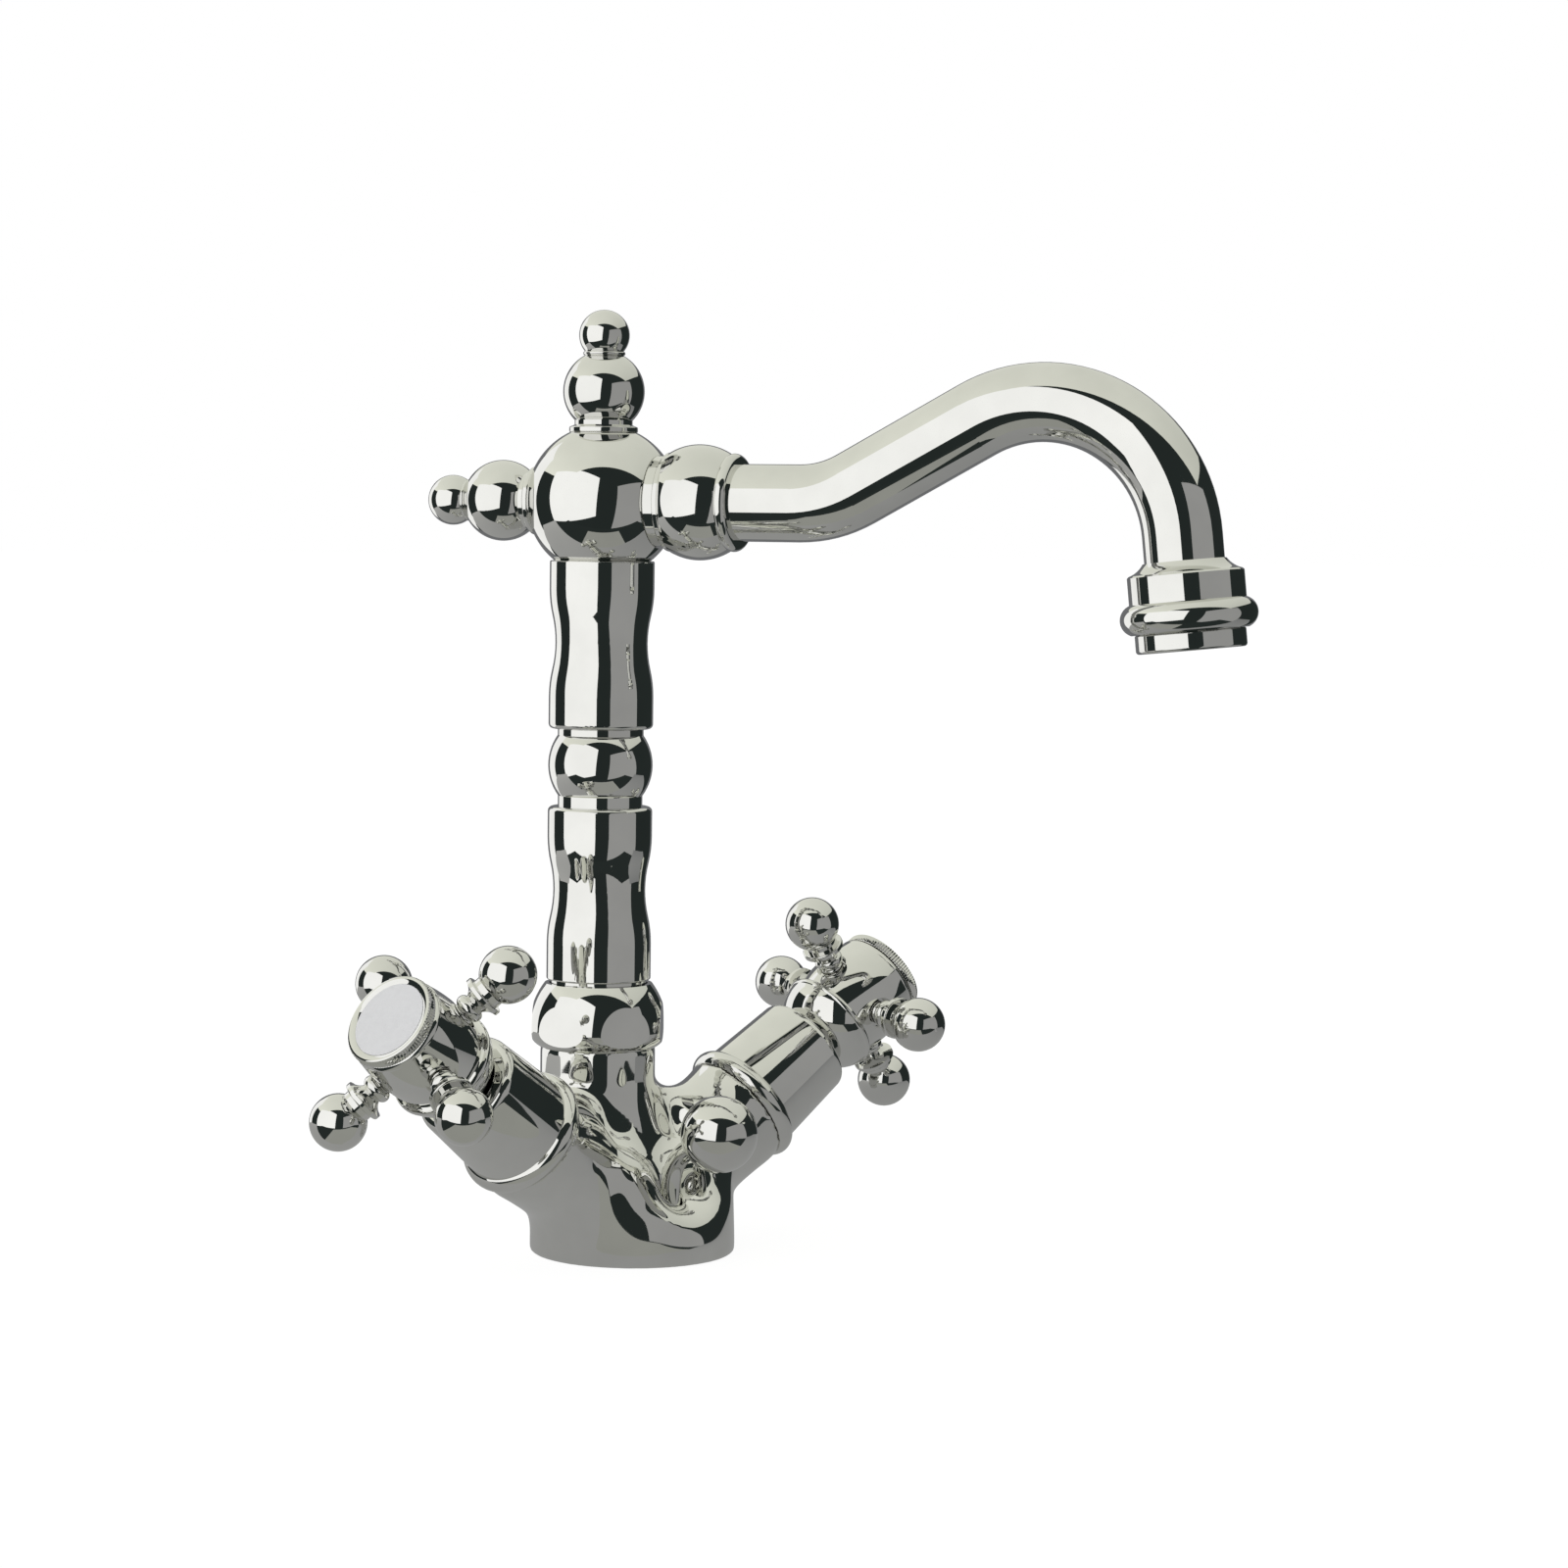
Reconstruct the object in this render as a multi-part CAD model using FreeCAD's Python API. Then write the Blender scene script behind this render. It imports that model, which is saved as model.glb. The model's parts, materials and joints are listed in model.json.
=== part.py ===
"""Basin mixer: a one-hole traditional tap with a swivelling spout, two cross handles and a lift rod.

Millimetres, +Z up. The origin is the centre of the round foot, on the surface the tap stands on.
The person using the tap is on the -Y side, hot is at -X and cold at +X.
"""
import math
import os

import FreeCAD
import Part

# Body: the round foot
FOOT_R = 24.8
FOOT_H = 16.0
FOOT_ROUND = 5.0
FOOT_EDGE = 1.0
FOOT_BLEND = 6.5
SEAL_R = 22.4
SEAL_W = 2.8
SEAL_T = 1.5

# Body: the socket of the column and the two arms
COLUMN_Y = 13.2
SOCKET_R = 14.0
SOCKET_LOW = 7.0
SOCKET_TOP = 48.8
SOCKET_BLEND = 5.0
THREAD_R = 13.0
THREAD_H = 7.0
ARM_MEET_Y = 4.3
ARM_MEET_Z = 7.4
ARM_RISE_ANGLE = 34.7
ARM_SWEEP_ANGLE = 7.2
ARM_LENGTH = 42.0
ARM_R = 14.6
ARM_STRAIGHT = 8.0
KNEE_X = 15.5
KNEE_Y = 2.7
KNEE_Z = 18.4
KNEE_RISE_ANGLE = 20.1
KNEE_SWEEP_ANGLE = 2.9
KNEE_FRONT = 15.5
KNEE_BACK = 18.0
KNEE_TOP = 16.5
KNEE_BOTTOM = 12.6
SADDLE_Z = 13.0
SADDLE_FRONT = 12.0
SADDLE_BACK = 20.0
SADDLE_TOP = 10.0
VALLEY_R = 14.5
VALLEY_LOW = 9.5
VALLEY_HIGH = 21.0
VALLEY_EDGE = 3.0

# Body: holes under the foot and waterways
INLET_R = 4.5
INLET_DEPTH = 12.0
INLET_FROM_MEET = 12.0
STUD_R = 3.4
STUD_DEPTH = 12.0
STUD_Y = 15.0
SUPPLY_R = 4.0
RISER_R = 3.6
MIXING_R = 3.2
BORE_END = 1.0

# Union nut and swivel joint
NUT_FLATS = 31.2
NUT_H = 15.4
NUT_FOOT_R = 14.4
NUT_FOOT_BOW = 0.6
NUT_BULGE_R = 16.9
NUT_BULGE_AT = 4.0
NUT_TOP_R = 13.1
NUT_DOME_BOW = 0.96
NUT_CORNER_ANGLE = -136.6
WASHER_T = 0.8
FLANGE_T = 2.2
NECK_R = 11.7
NECK_SHOWS = 0.9

# Column that carries the spout
COLUMN_R = 12.7
WAIST_R = 11.2
WAIST_SWING = 13.0
COLUMN_BORE_R = 6.0
LOWER_SLEEVE_H = 42.2
LOWER_WAIST_AT = 21.9
UPPER_SLEEVE_H = 40.7
UPPER_WAIST_AT = 20.8
SLEEVE_EDGE = 1.2
BEAD_GAP = 18.9
BEAD_LIFT = 0.6
GROOVE_LOW = 2.6
GROOVE_HIGH = 1.6
TAIL_R = 8.95
TAIL_L = 20.0
O_RING_T = 2.2
O_RING_BED = 1.6
O_RING_AT = (4.0, 10.0)

# Ball, finials and spout
BALL_R = 18.5
BALL_SEAT_R = 11.7
SPIGOT_R = 8.0
SPIGOT_L = 10.0
STUB_R = 4.0
STUB_L = 6.5
BALL_BORE_R = 5.0
FINIAL_FLANGE_R = 8.3
FINIAL_FLANGE_T = 1.5
FINIAL_NECK_R = 7.0
FINIAL_NECK_L = 3.0
FINIAL_BALL_R = 9.85
TIP_NECK_R = 4.7
TIP_NECK_L = 1.0
TIP_BALL_R = 6.1
SPOUT_SWING_ANGLE = 25.0
COLLAR_SEAT_R = 11.2
COLLAR_RING_L = 2.7
COLLAR_STEP_W = 2.65
COLLAR_LIP = 0.5
COLLAR_BULGE = 2.0
COLLAR_BALL_AT = 10.6
RIM_WALL = 2.15
RIM_L = 2.6
RIM_LIP = 0.9
TUBE_GRIP = 13.0
TUBE_R = 9.25
TUBE_WALL = 1.5
SPOUT_FLAT = 51.0
LOW_BEND_R = 29.0
SPOUT_CLIMB = 28.7
SPOUT_SLOPE = 34.0
TOP_BEND_R = 33.8
OUTLET_TILT = 6.0
SPOUT_DROP = 14.0

# Outlet
OUTLET_WALL = 4.25
OUTLET_BEAD = 2.4
OUTLET_BEAD_L = 7.0
FERRULE_UP = 8.0
FERRULE_CAP = 2.6
FERRULE_DOWN = 8.2
AERATOR_STEP = 1.95
AERATOR_WALL = 1.8
AERATOR_SKIRT_L = 4.4
AERATOR_SKIRT_IN = 0.7
AERATOR_LIP_W = 1.0
AERATOR_LIP_T = 1.2
AERATOR_WASHER_T = 1.4
GRID_T = 2.0
GRID_WALL = 1.2
GRID_HOLE_R = 0.85
GRID_PITCH = 2.3
GRID_MARGIN = 1.0

# Valves under the handles
VALVE_BORE_R = 10.5
VALVE_SEAT = 14.8
SEAT_SEAL_H = 3.4
SEAT_SEAL_R = 5.6
FIXED_DISC_H = 3.4
MOVING_DISC_H = 3.0
DRIVE_H = 2.0
DRIVE_PLAY = 0.2
DISC_R = 7.8
DISC_PLAY = 0.4
PORT_R = 2.2
PORT_AT = 3.6
WINDOW_W = 7.0
HEX_FLATS = 17.0
HEX_H = 6.5
SEAT_FLANGE_T = 2.5
HEADWORK_NECK_R = 7.4
HEADWORK_SHORT = 2.0
SPINDLE_R = 4.0
SHROUD_H = 26.4
SHROUD_WALL = 1.7
SHROUD_FOOT_R = 14.1
SHROUD_TOP_R = 13.0
SHROUD_SHOULDER = 2.0
SHROUD_BEAD_R = 15.8
SHROUD_BEAD_L = 4.8
SHROUD_HOLE_R = 8.9

# Cross handles
CROSS_Z = 42.6
HUB_R = 12.6
HUB_WAIST_R = 11.8
HUB_RIM_R = 13.0
HUB_RIM_L = 1.5
HUB_RIM_BOW = 0.3
HUB_BACK = 19.0
HUB_BOWL = 15.2
HUB_RIM_AT = 8.3
HUB_FRONT = 11.5
HUB_NECK_PLAY = 0.7
SCREW_SEAT = 3.8
SPINDLE_SHORT = 2.0
SCREW_R = 2.5
SCREW_L = 9.0
SCREW_HEAD_R = 4.2
SCREW_HEAD_H = 3.0
SCREW_WELL_R = 5.0
SPOKE_ROOT = 1.7
SPOKE_DIMPLE_R = 3.9
SPOKE_PEG_R = 2.0
SPOKE_PEG_L = 3.2
SPOKE_NECK_R = 2.5
SPOKE_BEAD_R = 2.9
SPOKE_BEAD_L = 1.7
SPOKE_RING_R = 3.6
SPOKE_RING_L = 3.0
SPOKE_FLARE_L = 2.2
SPOKE_COLLAR_R = 5.2
SPOKE_COLLAR_L = 1.2
SPOKE_BALL_AT = 25.9
SPOKE_BALL_R = 6.7
SPOKE_JOIN = 5.4
HOT_SPIN_ANGLE = -35.9
COLD_SPIN_ANGLE = 7.8
INDEX_R = 11.5
INDEX_H = 2.5
INDEX_RIM_W = 2.2
INDEX_LEDGE_W = 1.0
INDEX_SUNK = 2.8
INDEX_WALL = 1.3
DISC_UP = 1.0
DISC_T = 1.1

# Lift rod of the waste plug
ROD_Y = -13.6
ROD_R = 2.4
ROD_FOOT = 0.5
ROD_BEND_R = 11.0
ROD_LEAN_ANGLE = 25.0
ROD_UPRIGHT = 17.2
ROD_REACH = 11.4
BUSH_R = 3.6
BUSH_LOW = 1.0
BUSH_TOP = 12.0
KNOB_R = 9.2
KNOB_FACE_R = 6.2
KNOB_COLLAR_R = 4.8
KNOB_COLLAR_L = 1.4
KNOB_DEPTH = 5.2

# Clearances and small edges
FIT = 0.05
GAP = 0.3
EDGE = 0.4

V = FreeCAD.Vector
UP = V(0, 0, 1)


def turned(start, *steps):
    """Revolve an outline of (radius, height) points; a step of two points is an arc through the first."""
    def point(p):
        return V(p[0], 0, p[1])

    edges = []
    here = start
    for step in steps + (start,):
        if isinstance(step[0], tuple):
            edges.append(Part.Arc(point(here), point(step[0]), point(step[1])).toShape())
            here = step[1]
        elif step != here:
            edges.append(Part.makeLine(point(here), point(step)))
            here = step
    return Part.Face(Part.Wire(edges)).revolve(V(0, 0, 0), UP, 360)


def bow(start, end, rise):
    """An arc between two outline points, bulging by rise to the right of its way."""
    dr = end[0] - start[0]
    dz = end[1] - start[1]
    length = math.hypot(dr, dz)
    middle = ((start[0] + end[0]) / 2 + rise * dz / length, (start[1] + end[1]) / 2 - rise * dr / length)
    return middle, end


def ogee(r0, z0, r1, z1):
    """Two arcs that swing from one radius to another and leave both ends parallel to the axis."""
    dr = r1 - r0
    dz = z1 - z0
    radius = (dr * dr + dz * dz) / (4 * abs(dr))
    half = math.asin(abs(dz) / 2 / radius) / 2
    in_r = math.copysign(radius * (1 - math.cos(half)), dr)
    in_z = math.copysign(radius * math.sin(half), dz)
    first = ((r0 + in_r, z0 + in_z), (r0 + dr / 2, z0 + dz / 2))
    second = ((r1 - in_r, z1 - in_z), (r1, z1))
    return first, second


def lower_edge(r, z, size):
    """Round the corner where an outline turns from outwards to upwards."""
    inset = size * (1 - math.cos(math.pi / 4))
    return (r - size, z), ((r - inset, z + inset), (r, z + size))


def upper_edge(r, z, size):
    """Round the corner where an outline turns from upwards to inwards."""
    inset = size * (1 - math.cos(math.pi / 4))
    return (r, z - size), ((r - inset, z - inset), (r - size, z))


def chord(radius, at):
    """Radius of a ball's section at a distance from its centre, or the distance for a radius."""
    return math.sqrt(radius * radius - at * at)


def rod(radius, z0, z1):
    return Part.makeCylinder(radius, z1 - z0, V(0, 0, z0))


def ring(r_out, r_in, z0, z1):
    return rod(r_out, z0, z1).cut(rod(r_in, z0, z1))


def hexagon(flats, z0, z1, turn=0.0):
    peak = flats / math.sqrt(3)
    corners = []
    for step in range(7):
        t = math.radians(turn + 60 * step)
        corners.append(V(peak * math.cos(t), peak * math.sin(t), z0))
    return Part.Face(Part.makePolygon(corners)).extrude(V(0, 0, z1 - z0))


def along(origin, direction, spin=0.0):
    """Placement that lays local Z along a direction, turned about it from the level side axis."""
    n = V(direction).normalize()
    side = UP.cross(n)
    side = V(1, 0, 0) if side.Length < 1e-9 else side.normalize()
    lift = n.cross(side)
    turn = math.radians(spin)
    a = side * math.cos(turn) + lift * math.sin(turn)
    b = n.cross(a)
    matrix = FreeCAD.Matrix(a.x, b.x, n.x, origin.x, a.y, b.y, n.y, origin.y,
                            a.z, b.z, n.z, origin.z, 0, 0, 0, 1)
    return FreeCAD.Placement(matrix)


def put(shape, placement):
    moved = shape.copy()
    moved.transformShape(placement.toMatrix(), True)
    return moved


def around(shape):
    """Four copies turned about Z, each with its own Z laid outwards."""
    copies = []
    for turn in range(4):
        angle = turn * math.pi / 2
        copies.append(put(shape, along(V(0, 0, CROSS_Z), V(math.cos(angle), math.sin(angle), 0))))
    return copies


def axis_of(rise, sweep):
    """Outward direction of the cold arm for a rise above level and a sweep towards the front."""
    e = math.radians(rise)
    s = math.radians(sweep)
    return V(math.cos(e) * math.cos(s), -math.cos(e) * math.sin(s), math.sin(e))


def mirrored(v):
    return V(-v.x, v.y, v.z)


# Places that follow from the sizes
COLUMN_AXIS = V(0, COLUMN_Y, 0)
ARM_MEET = V(0, ARM_MEET_Y, ARM_MEET_Z)
COLD_AXIS = axis_of(ARM_RISE_ANGLE, ARM_SWEEP_ANGLE)
HOT_AXIS = mirrored(COLD_AXIS)
COLD_END = ARM_MEET + COLD_AXIS * ARM_LENGTH
HOT_END = mirrored(COLD_END)
THREAD_TOP = SOCKET_TOP + THREAD_H
FLANGE_LOW = THREAD_TOP + WASHER_T
FLANGE_TOP = FLANGE_LOW + FLANGE_T
FLANGE_R = THREAD_R - GAP
NUT_TOP = SOCKET_TOP + NUT_H
TAIL_LOW = THREAD_TOP - TAIL_L
SLEEVE_0 = NUT_TOP + NECK_SHOWS
SLEEVE_1 = SLEEVE_0 + LOWER_SLEEVE_H
SLEEVE_2 = SLEEVE_1 + BEAD_GAP
COLUMN_TOP = SLEEVE_2 + UPPER_SLEEVE_H
BALL_SEAT = chord(BALL_R, BALL_SEAT_R)
BALL_CENTRE = V(0, COLUMN_Y, COLUMN_TOP + BALL_SEAT)
SWING = math.radians(SPOUT_SWING_ANGLE)
SPOUT_DIR = V(math.sin(SWING), -math.cos(SWING), 0)
SPOUT_PLACE = FreeCAD.Placement(BALL_CENTRE, FreeCAD.Rotation(UP, SPOUT_SWING_ANGLE - 90))
COLLAR_SEAT = chord(BALL_R, COLLAR_SEAT_R)
FINIAL_SEAT = chord(BALL_R, FINIAL_FLANGE_R)
COLLAR_BALL = COLLAR_SEAT + COLLAR_BALL_AT
COLLAR_STEP_R = TUBE_R + COLLAR_STEP_W
COLLAR_R = COLLAR_STEP_R + COLLAR_BULGE
RIM_R = TUBE_R + RIM_WALL
RIM_LOW = COLLAR_BALL + chord(COLLAR_R, RIM_R)
RIM_TOP = RIM_LOW + RIM_L
TUBE_FROM = RIM_TOP - TUBE_GRIP
OUTLET_R = TUBE_R + OUTLET_WALL
OUTLET_BEAD_R = OUTLET_R + OUTLET_BEAD
AERATOR_R = TUBE_R + AERATOR_STEP
AERATOR_BORE_R = AERATOR_R - AERATOR_WALL
AERATOR_SKIRT_R = OUTLET_R - AERATOR_SKIRT_IN
AERATOR_LIP_R = AERATOR_BORE_R - AERATOR_LIP_W
GRID_FIELD_R = AERATOR_BORE_R - GRID_WALL - GRID_MARGIN
AERATOR_END = FERRULE_DOWN + AERATOR_SKIRT_L
GRID_SEAT = AERATOR_END - AERATOR_LIP_T
SEAL_TOP = SEAT_SEAL_H - VALVE_SEAT
FIXED_TOP = SEAL_TOP + FIXED_DISC_H
MOVING_TOP = FIXED_TOP + MOVING_DISC_H
DRIVE_TOP = MOVING_TOP + DRIVE_H
DISC_BED_R = DISC_R + DISC_PLAY
HUB_LOW = CROSS_Z - HUB_BACK
HEADWORK_TOP = HUB_LOW - HEADWORK_SHORT
HUB_TOP = CROSS_Z + HUB_FRONT
SCREW_HEAD_LOW = CROSS_Z + SCREW_SEAT
SPINDLE_TOP = SCREW_HEAD_LOW - SPINDLE_SHORT
ROOT_AT = HUB_R - SPOKE_ROOT
RECESS_R = INDEX_R - INDEX_WALL
DISC_WELL_R = INDEX_R - INDEX_RIM_W


def on_column(shape):
    return put(shape, FreeCAD.Placement(COLUMN_AXIS, FreeCAD.Rotation()))


def section(centre, normal, front, back, top, bottom):
    """Points of a closed smooth oval across an arm, in order round the arm from its lowest point."""
    level = UP.cross(normal).normalize()
    rise = normal.cross(level)
    points = []
    for step in range(16):
        t = math.radians(22.5 * step - 90)
        u = math.cos(t) * (back if math.cos(t) > 0 else front)
        v = math.sin(t) * (top if math.sin(t) > 0 else bottom)
        points.append(centre + level * u + rise * v)
    return points


def smooth_wire(points):
    curve = Part.BSplineCurve()
    curve.interpolate(points, PeriodicFlag=True)
    return Part.Wire(curve.toShape())


def arms():
    """Both arms as one smooth saddle, from the end of the cold arm to the end of the hot arm."""
    knee = V(KNEE_X, KNEE_Y, KNEE_Z)
    knee_axis = axis_of(KNEE_RISE_ANGLE, KNEE_SWEEP_ANGLE)
    cold = [
        section(COLD_END, COLD_AXIS, ARM_R, ARM_R, ARM_R, ARM_R),
        section(COLD_END - COLD_AXIS * ARM_STRAIGHT, COLD_AXIS, ARM_R, ARM_R, ARM_R, ARM_R),
        section(knee, knee_axis, KNEE_FRONT, KNEE_BACK, KNEE_TOP, KNEE_BOTTOM),
    ]
    saddle = V(0, ARM_MEET_Y, SADDLE_Z)
    middle = section(saddle, V(1, 0, 0), SADDLE_FRONT, SADDLE_BACK, SADDLE_TOP, SADDLE_Z)
    hot = [[mirrored(p) for p in points] for points in reversed(cold)]
    return Part.makeLoft([smooth_wire(p) for p in cold + [middle] + hot], True, False)


def seam(shape, low, high):
    """Edges between the lofted arms and any other surface, within a range of height."""
    found = []
    for edge in shape.Edges:
        faces = shape.ancestorsOfType(edge, Part.Face)
        lofted = [isinstance(f.Surface, Part.BSplineSurface) for f in faces]
        box = edge.BoundBox
        if any(lofted) and not all(lofted) and box.ZMin > low and box.ZMax < high:
            found.append(edge)
    return found


def valley():
    """Round cutter that slopes from the front of the socket down to the front edge of the foot."""
    front = V(0, -FOOT_R, VALLEY_LOW)
    run = V(0, COLUMN_Y - SOCKET_R, VALLEY_HIGH) - front
    lift = V(1, 0, 0).cross(run).normalize()
    return Part.makeCylinder(VALLEY_R, 3 * run.Length, front - run + lift * VALLEY_R, run)


def valley_rims(shape):
    """Curved edges round the surface that the valley's cutter left."""
    cuts = [f for f in shape.Faces if isinstance(f.Surface, Part.Cylinder) and f.Surface.Radius == VALLEY_R]
    return [edge for face in cuts for edge in face.Edges if edge.Curve.TypeId != "Part::GeomLine"]


def on_socket(edge):
    """True for a curve that runs round the outside of the socket, below its top."""
    if edge.BoundBox.ZLength < EDGE or edge.BoundBox.ZMax > SOCKET_TOP - EDGE:
        return False
    if edge.Curve.TypeId == "Part::GeomLine":
        return False
    return all(abs(math.hypot(p.x, p.y - COLUMN_Y) - SOCKET_R) < FIT for p in edge.discretize(7))


def blend(shape, size, edges):
    """Fillet edges, with a smaller radius where the faces beside them leave less room."""
    for share in (1.0, 0.8, 0.6, 0.4):
        try:
            rounded = shape.makeFillet(size * share, edges)
        except Part.OCCError:
            continue
        if rounded.isValid():
            return rounded
    return shape


def valve_bores(end, axis):
    """Room for one valve, its supply from below and its way to the column."""
    chamber = Part.makeCylinder(VALVE_BORE_R, VALVE_SEAT + BORE_END, end + axis * BORE_END, axis * -1)
    supply_end = end - axis * (ARM_LENGTH - INLET_FROM_MEET)
    supply = Part.makeCylinder(SUPPLY_R, (supply_end - end).Length, end, axis * -1)
    inlet = Part.makeCylinder(INLET_R, INLET_DEPTH, V(supply_end.x, supply_end.y, 0))
    riser = Part.makeCylinder(RISER_R, supply_end.z, V(supply_end.x, supply_end.y, 0))
    start = end - axis * (VALVE_SEAT - MIXING_R - BORE_END)
    way = V(0, COLUMN_Y, TAIL_LOW + BORE_END) - start
    mixing = Part.makeCylinder(MIXING_R, way.Length, start, way)
    return chamber.fuse([supply, inlet, riser, mixing])


def body_casting():
    foot = turned((0, 0), *lower_edge(FOOT_R, 0, FOOT_EDGE),
                  *upper_edge(FOOT_R, FOOT_H, FOOT_ROUND), (0, FOOT_H))
    reach = COLD_END.x + COLD_END.z + ARM_R
    above = Part.makeBox(2 * reach, 2 * reach, reach, V(-reach, -reach, 0))
    body = foot.fuse(arms().common(above)).removeSplitter()
    body = blend(body, FOOT_BLEND, seam(body, FOOT_EDGE, FOOT_H + FOOT_EDGE))
    body = body.cut(valley())
    body = blend(body, VALLEY_EDGE, valley_rims(body))
    body = body.fuse(on_column(rod(SOCKET_R, SOCKET_LOW, SOCKET_TOP))).removeSplitter()
    body = blend(body, SOCKET_BLEND, [edge for edge in body.Edges if on_socket(edge)])
    body = body.fuse(on_column(rod(THREAD_R, SOCKET_TOP - THREAD_H, THREAD_TOP)))
    holes = [
        on_column(rod(TAIL_R + FIT, TAIL_LOW - BORE_END, THREAD_TOP)),
        valve_bores(COLD_END, COLD_AXIS),
        valve_bores(HOT_END, HOT_AXIS),
        foot_seal(),
        Part.makeCylinder(STUD_R, STUD_DEPTH, V(0, STUD_Y, 0)),
        Part.makeCylinder(ROD_R + GAP, SOCKET_TOP, V(0, ROD_Y, 0)),
        Part.makeCylinder(BUSH_R, BUSH_TOP, V(0, ROD_Y, 0)),
    ]
    for hole in holes:
        body = body.cut(hole)
    return body


def foot_seal():
    return ring(SEAL_R, SEAL_R - SEAL_W, 0, SEAL_T)


def union_nut():
    """Turned barrel with six shallow flats, bored for the thread and the neck of the column."""
    low = SOCKET_TOP
    foot = (NUT_FOOT_R, low)
    bulge = (NUT_BULGE_R, low + NUT_BULGE_AT)
    barrel = turned((0, low), foot, bow(foot, bulge, NUT_FOOT_BOW),
                    bow(bulge, (NUT_TOP_R, NUT_TOP), NUT_DOME_BOW), (0, NUT_TOP))
    nut = hexagon(NUT_FLATS, low - EDGE, NUT_TOP + EDGE, NUT_CORNER_ANGLE).common(barrel)
    nut = nut.cut(rod(THREAD_R + FIT, low - EDGE, FLANGE_TOP + WASHER_T))
    return nut.cut(rod(NECK_R + GAP, low, NUT_TOP + EDGE))


def swivel_washers():
    lower = ring(FLANGE_R, TAIL_R + GAP, THREAD_TOP, FLANGE_LOW)
    upper = ring(FLANGE_R, NECK_R + GAP, FLANGE_TOP, FLANGE_TOP + WASHER_T)
    return Part.makeCompound([lower, upper])


def column():
    """One turned tube: tail, flange, two waisted sleeves and the bead between them."""
    bead = (SLEEVE_1 + SLEEVE_2) / 2 + BEAD_LIFT
    low_at = SLEEVE_1 + GROOVE_LOW
    high_at = SLEEVE_2 - GROOVE_HIGH
    low_r = chord(COLUMN_R, bead - low_at)
    high_r = chord(COLUMN_R, high_at - bead)
    waist_0 = SLEEVE_0 + LOWER_WAIST_AT
    waist_1 = SLEEVE_2 + UPPER_WAIST_AT
    tube = turned(
        (COLUMN_BORE_R, TAIL_LOW), (TAIL_R, TAIL_LOW), (TAIL_R, FLANGE_LOW), (FLANGE_R, FLANGE_LOW),
        (FLANGE_R, FLANGE_TOP), (NECK_R, FLANGE_TOP), (NECK_R, SLEEVE_0),
        *lower_edge(COLUMN_R, SLEEVE_0, EDGE),
        (COLUMN_R, waist_0 - WAIST_SWING), *ogee(COLUMN_R, waist_0 - WAIST_SWING, WAIST_R, waist_0),
        *ogee(WAIST_R, waist_0, COLUMN_R, waist_0 + WAIST_SWING),
        *upper_edge(COLUMN_R, SLEEVE_1, SLEEVE_EDGE),
        (low_r, SLEEVE_1), (low_r, low_at), ((COLUMN_R, bead), (high_r, high_at)), (high_r, SLEEVE_2),
        *lower_edge(COLUMN_R, SLEEVE_2, SLEEVE_EDGE), (COLUMN_R, waist_1 - WAIST_SWING),
        *ogee(COLUMN_R, waist_1 - WAIST_SWING, WAIST_R, waist_1),
        *ogee(WAIST_R, waist_1, COLUMN_R, waist_1 + WAIST_SWING), *upper_edge(COLUMN_R, COLUMN_TOP, EDGE),
        (SPIGOT_R, COLUMN_TOP), (SPIGOT_R, COLUMN_TOP - SPIGOT_L), (COLUMN_BORE_R, COLUMN_TOP - SPIGOT_L))
    for hoop in o_rings():
        tube = tube.cut(hoop)
    return tube


def o_rings():
    return [ring(TAIL_R, TAIL_R - O_RING_BED, TAIL_LOW + at, TAIL_LOW + at + O_RING_T) for at in O_RING_AT]


def spout_ball():
    ball = Part.makeSphere(BALL_R)
    ball = ball.cut(rod(BALL_R, -BALL_R, -BALL_SEAT))
    ball = ball.fuse(rod(SPIGOT_R, -BALL_SEAT - SPIGOT_L, -BALL_SEAT))
    ball = ball.cut(rod(BALL_BORE_R, -BALL_SEAT - SPIGOT_L, 0))
    finial_seat = rod(BALL_R, FINIAL_SEAT, BALL_R).fuse(rod(STUB_R, FINIAL_SEAT - STUB_L, BALL_R))
    collar_seat = rod(BALL_R, COLLAR_SEAT, BALL_R).fuse(
        [rod(SPIGOT_R, COLLAR_SEAT - STUB_L, BALL_R), rod(BALL_BORE_R, 0, BALL_R)])
    centre = V(0, 0, 0)
    ball = ball.cut(finial_seat)
    ball = ball.cut(put(finial_seat, along(centre, SPOUT_DIR * -1)))
    ball = ball.cut(put(collar_seat, along(centre, SPOUT_DIR)))
    return put(ball, FreeCAD.Placement(BALL_CENTRE, FreeCAD.Rotation()))


def finial():
    """Turned ornament standing on a flat of the ball: flange, neck, large ball, ringed neck, small ball."""
    flange = FINIAL_FLANGE_R
    ball = FINIAL_NECK_L + chord(FINIAL_BALL_R, FINIAL_NECK_R)
    ball_top = ball + chord(FINIAL_BALL_R, TIP_NECK_R)
    tip_low = ball_top + TIP_NECK_L
    tip = tip_low + chord(TIP_BALL_R, TIP_NECK_R)
    return turned(
        (0, -STUB_L), (STUB_R, -STUB_L), (STUB_R, 0), *lower_edge(flange, 0, EDGE),
        *upper_edge(flange, FINIAL_FLANGE_T, EDGE), (FINIAL_NECK_R, FINIAL_FLANGE_T + EDGE),
        (FINIAL_NECK_R, FINIAL_NECK_L), ((FINIAL_BALL_R, ball), (TIP_NECK_R, ball_top)),
        bow((TIP_NECK_R, ball_top), (TIP_NECK_R, tip_low), EDGE), ((TIP_BALL_R, tip), (0, tip + TIP_BALL_R)))


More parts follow.
